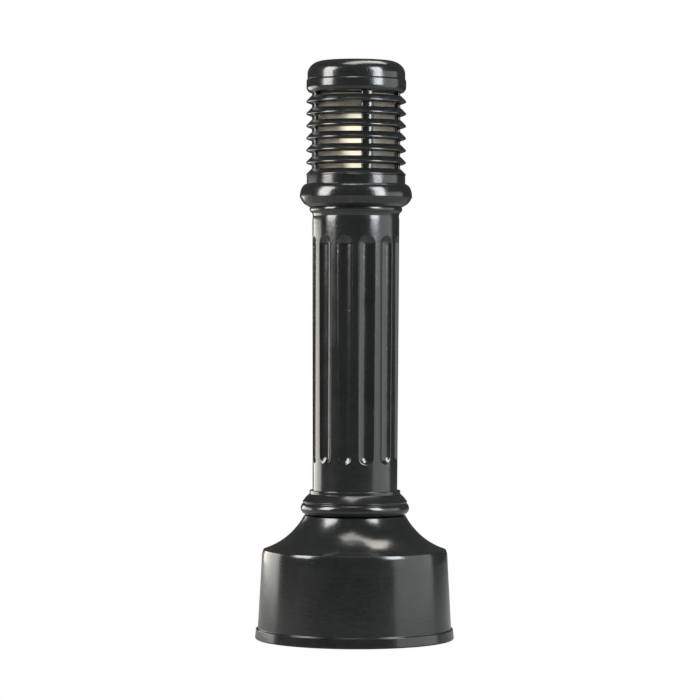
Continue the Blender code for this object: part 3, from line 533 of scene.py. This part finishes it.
def oval_post(bearing):
    """A relief that flattens a round post across its bearing and leaves its bore round."""

    def radius(r, z, direction):
        turn = radians(direction - bearing)
        oval = 1.0 / hypot(cos(turn) / POST_HALF_DEPTH, sin(turn) / POST_HALF_WIDTH)
        outward = (r - POST_BORE) / (POST_HALF_WIDTH - POST_BORE)
        return POST_BORE + outward * (oval - POST_BORE)

    return radius


def make_ring(number):
    """A louvre ring: a wedge-shaped fin with a rounded tip and four flat hollow posts."""
    node = RING_NODES[number]
    above = RING_NODES[number - 1] if number else "top_ring"
    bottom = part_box(node)[0].z
    post_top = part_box(above)[0].z - GAP
    nose = 0.003
    lip = TIP_RADIUS - 0.0066
    inner = TIP_RADIUS - 0.0101
    fin_height = 0.0105
    slope = 0.001
    lowest = number == RINGS - 1
    tip = bottom + (TIP_ABOVE_FLAT if lowest else TIP_ABOVE_LIP)
    fin = [(inner + slope, tip + fin_height)]
    fin += arc((TIP_RADIUS - nose, tip), nose, nose, 45, 0 if lowest else -35, 16)
    fin += [
        (TIP_RADIUS if lowest else lip, bottom),
        (inner, bottom),
        (inner, tip + fin_height - slope),
    ]
    post = ring_section(POST_HALF_WIDTH, POST_BORE, bottom, post_top)
    shape = bmesh.new()
    sweep(shape, softened(fin, 0.0005), even_bearings(FINE))
    for bearing in quarter_turns(POST_BEARING):
        centre = around(POST_CIRCLE, bearing)
        sweep(shape, softened(post, 0.0005), even_bearings(48), centre=centre, relief=oval_post(bearing))
    return finished(node + "_fine", shape, BLACK, "post", node)


def make_top_ring():
    """The ring on top of the louvres that takes the cover."""
    curve = 0.009
    curve_top = 1.019
    shelf = 1.016
    wall_bore = 0.088
    section = [(TIP_RADIUS - 0.0016, TOP_RING_TOP), (TIP_RADIUS, TOP_RING_TOP - 0.0022)]
    section += arc((TIP_RADIUS - curve, curve_top), curve, curve_top - TOP_RING_BOTTOM, 0, -90, 16)
    section += [(BORE, TOP_RING_BOTTOM), (BORE, shelf), (wall_bore, shelf), (wall_bore, TOP_RING_TOP)]
    return turned_piece("top_ring", section, BLACK)


def make_cover():
    """The domed cover, with its spigot and centre boss."""
    flat = 0.061
    spigot = 0.0877
    spigot_bore = 0.0837
    spigot_end = 1.025
    roof = COVER_TOP - 0.006
    boss = 0.008
    screw_bore = 0.0022
    screw_end = 1.024
    shoulder = COVER_TOP - 0.0245
    seat = TOP_RING_TOP + GAP
    boss_end = PLATE_TOP + GAP
    section = [(0.0, COVER_TOP), (flat / 2, COVER_TOP)]
    section += arc((flat, shoulder), COVER_RADIUS - flat, COVER_TOP - shoulder, 90, 0, 32)
    section += [
        (COVER_RADIUS, seat),
        (spigot, seat),
        (spigot, spigot_end),
        (spigot_bore, spigot_end),
        (spigot_bore, shoulder),
        (0.071, COVER_TOP - 0.010),
        (0.057, roof),
        (boss, roof),
        (boss, boss_end),
        (screw_bore, boss_end),
        (screw_bore, screw_end),
        (0.0, screw_end),
    ]
    return turned_piece("cap_cover", section, BLACK, "cap", closed=False)


# ------------------------------------------------------------- optical parts


def ring_section(outer, inner, bottom, top):
    """The section of a plain tube or washer."""
    return [(outer, top), (outer, bottom), (inner, bottom), (inner, top)]


def make_optics():
    """The lens, its gaskets, the reflector plate, the lamp and its socket."""
    tube = ring_section(LENS_RADIUS, LENS_BORE, LENS_BOTTOM, LENS_TOP)
    turned_piece("lens", tube, FINISHES["frosted_lens"], edge=0.0008)
    for node in ("lower_gasket", "upper_gasket"):
        _, bottom, top = reach(node)
        ring = ring_section(0.072, 0.0665, bottom, top)
        turned_piece(node, ring, FINISHES["gasket_rubber"])
    plate = ring_section(0.0645, 0.0026, PLATE_BOTTOM, PLATE_TOP)
    turned_piece("reflector_plate", plate, FINISHES["white_enamel"], "cap", edge=0.0004)
    well = 0.0138
    well_bottom = SOCKET_TOP - 0.027
    socket = [
        (0.0, well_bottom),
        (well, well_bottom),
        (well, SOCKET_TOP),
        (0.017, SOCKET_TOP),
        (0.019, SOCKET_TOP - 0.012),
        (0.020, SOCKET_BOTTOM + 0.012),
        (0.018, SOCKET_BOTTOM),
        (0.0, SOCKET_BOTTOM),
    ]
    glaze = FINISHES["porcelain"]
    turned_piece("lamp_socket", socket, glaze, steps=64, closed=False, edge=0.0015)
    widest = 0.928
    thread = 0.0133
    lamp = arc((0.0, widest), 0.027, LAMP_TOP - widest, 90, 0, 24)
    lamp += [
        (0.0255, 0.910),
        (0.0185, 0.884),
        (0.0148, SOCKET_TOP + 0.0065),
        (thread, SOCKET_TOP + 0.0005),
        (thread, LAMP_BOTTOM + 0.006),
        (0.005, LAMP_BOTTOM),
        (0.0, LAMP_BOTTOM),
    ]
    turned_piece("lamp", lamp, FINISHES["lamp_glass"], steps=64, closed=False, edge=0.006)


# ------------------------------------------------------------ carried pieces


def rounded_shading():
    """A modifier's node group that shades a CAD mesh smooth below an edge angle."""
    group = bpy.data.node_groups.new("rounded_shading", "GeometryNodeTree")
    group.interface.new_socket("Geometry", in_out="INPUT", socket_type="NodeSocketGeometry")
    group.interface.new_socket("Geometry", in_out="OUTPUT", socket_type="NodeSocketGeometry")
    nodes, links = group.nodes, group.links
    source = nodes.new("NodeGroupInput")
    result = nodes.new("NodeGroupOutput")
    faces = nodes.new("GeometryNodeSetShadeSmooth")
    faces.domain = "FACE"
    edges = nodes.new("GeometryNodeSetShadeSmooth")
    edges.domain = "EDGE"
    angle = nodes.new("GeometryNodeInputMeshEdgeAngle")
    below = nodes.new("FunctionNodeCompare")
    below.data_type = "FLOAT"
    below.operation = "LESS_THAN"
    below.inputs["B"].default_value = EDGE_ANGLE
    links.new(angle.outputs["Unsigned Angle"], below.inputs["A"])
    links.new(source.outputs[0], faces.inputs["Geometry"])
    links.new(faces.outputs["Geometry"], edges.inputs["Geometry"])
    links.new(below.outputs["Result"], edges.inputs["Shade Smooth"])
    links.new(edges.outputs["Geometry"], result.inputs[0])
    return group


def dress_carried_nodes():
    """Give every CAD node that stays visible its finish and soft edges."""
    group = rounded_shading()
    slots = {part["node"]: part["material_slot"] for part in frame["record"]["subparts"]}
    for name, node in frame["nodes"].items():
        node.data.materials.clear()
        node.data.materials.append(FINISHES[slots[name]])
        if node.hide_render:
            continue
        rounding = node.modifiers.new("soft_edges", "BEVEL")
        rounding.width = 0.0003
        rounding.segments = 2
        rounding.limit_method = "ANGLE"
        rounding.angle_limit = EDGE_ANGLE
        shading = node.modifiers.new("rounded_shading", "NODES")
        shading.node_group = group


# -------------------------------------------------------------------- studio


def make_floor():
    """A plain pale floor that fades into the white background."""
    shape = bmesh.new()
    bmesh.ops.create_circle(shape, cap_ends=True, segments=64, radius=30.0)
    mesh = bpy.data.meshes.new("floor")
    shape.to_mesh(mesh)
    shape.free()
    floor = bpy.data.objects.new("floor", mesh)
    floor.location.z = -0.0005
    bpy.context.scene.collection.objects.link(floor)
    material = bpy.data.materials.new("pale_floor")
    material.use_nodes = True
    nodes, links = material.node_tree.nodes, material.node_tree.links
    shader = nodes["Principled BSDF"]
    shader.inputs["Base Color"].default_value = colour(0.30, 0.30, 0.30)
    shader.inputs["Roughness"].default_value = 0.9
    white = nodes.new("ShaderNodeEmission")
    white.inputs["Color"].default_value = colour(1.0, 1.0, 1.0)
    path = nodes.new("ShaderNodeLightPath")
    mix = nodes.new("ShaderNodeMixShader")
    links.new(path.outputs["Is Camera Ray"], mix.inputs[0])
    links.new(shader.outputs[0], mix.inputs[1])
    links.new(white.outputs[0], mix.inputs[2])
    links.new(mix.outputs[0], nodes["Material Output"].inputs["Surface"])
    mesh.materials.append(material)


def make_world():
    """White to the camera, and a dim studio to everything else."""
    world = bpy.data.worlds.new("studio")
    bpy.context.scene.world = world
    world.use_nodes = True
    nodes, links = world.node_tree.nodes, world.node_tree.links
    room = nodes["Background"]
    room.inputs["Color"].default_value = colour(0.92, 0.96, 1.0)
    room.inputs["Strength"].default_value = 0.06
    white = nodes.new("ShaderNodeBackground")
    white.inputs["Color"].default_value = colour(1.0, 1.0, 1.0)
    path = nodes.new("ShaderNodeLightPath")
    mix = nodes.new("ShaderNodeMixShader")
    links.new(path.outputs["Is Camera Ray"], mix.inputs[0])
    links.new(room.outputs[0], mix.inputs[1])
    links.new(white.outputs[0], mix.inputs[2])
    links.new(mix.outputs[0], nodes["World Output"].inputs["Surface"])


def softbox(name, bearing, distance, height, width, tall, power, tint):
    """A soft area light at a bearing, turned to face the bollard's middle."""
    light = bpy.data.lights.new(name, "AREA")
    light.shape = "RECTANGLE"
    light.size = width
    light.size_y = tall
    light.energy = power
    light.color = tint
    lamp = bpy.data.objects.new(name, light)
    lamp.location = around(distance, bearing, height)
    aim = Vector((0.0, 0.0, COVER_TOP / 2)) - lamp.location
    lamp.rotation_euler = aim.to_track_quat("-Z", "Y").to_euler()
    bpy.context.scene.collection.objects.link(lamp)
    return lamp


def make_lights():
    """Two side softboxes, a long one overhead, and low panels at the right and the rear left."""
    softbox("left_softbox", -69.0, 2.6, 1.9, 1.3, 2.2, 118.0, (1.0, 0.99, 0.97))
    softbox("right_softbox", 51.0, 2.6, 1.9, 1.1, 2.2, 114.0, (0.90, 0.96, 1.0))
    softbox("overhead_softbox", 137.0, 0.41, 3.2, 0.9, 2.4, 42.0, (1.0, 0.95, 0.88))
    softbox("side_panel", 78.0, 2.4, 0.7, 2.8, 1.5, 20.0, (0.97, 0.99, 1.0))
    softbox("rear_panel", -127.0, 2.6, 0.4, 2.2, 1.0, 24.0, (1.0, 0.96, 0.90))


def make_view():
    """Plain colours, so that white stays white."""
    bpy.context.scene.view_settings.view_transform = "Standard"


def make_camera():
    """A long lens a little left of the front, at about half height."""
    camera_data = bpy.data.cameras.new("camera")
    camera_data.sensor_width = 36.0
    camera_data.lens = 160.0
    camera = bpy.data.objects.new("camera", camera_data)
    camera.location = (-0.010, -5.75, 0.639)
    look_down = 1.05
    lean = 0.2
    pitch = Matrix.Rotation(radians(90.0 - look_down), 4, "X")
    roll = Matrix.Rotation(radians(lean), 4, "Z")
    camera.rotation_euler = (pitch @ roll).to_euler()
    bpy.context.scene.collection.objects.link(camera)
    bpy.context.scene.camera = camera


make_base()
make_shaft()
make_collar()
for ring_number in range(RINGS):
    make_ring(ring_number)
make_top_ring()
make_cover()
make_optics()
dress_carried_nodes()
make_floor()
make_world()
make_lights()
make_view()
make_camera()
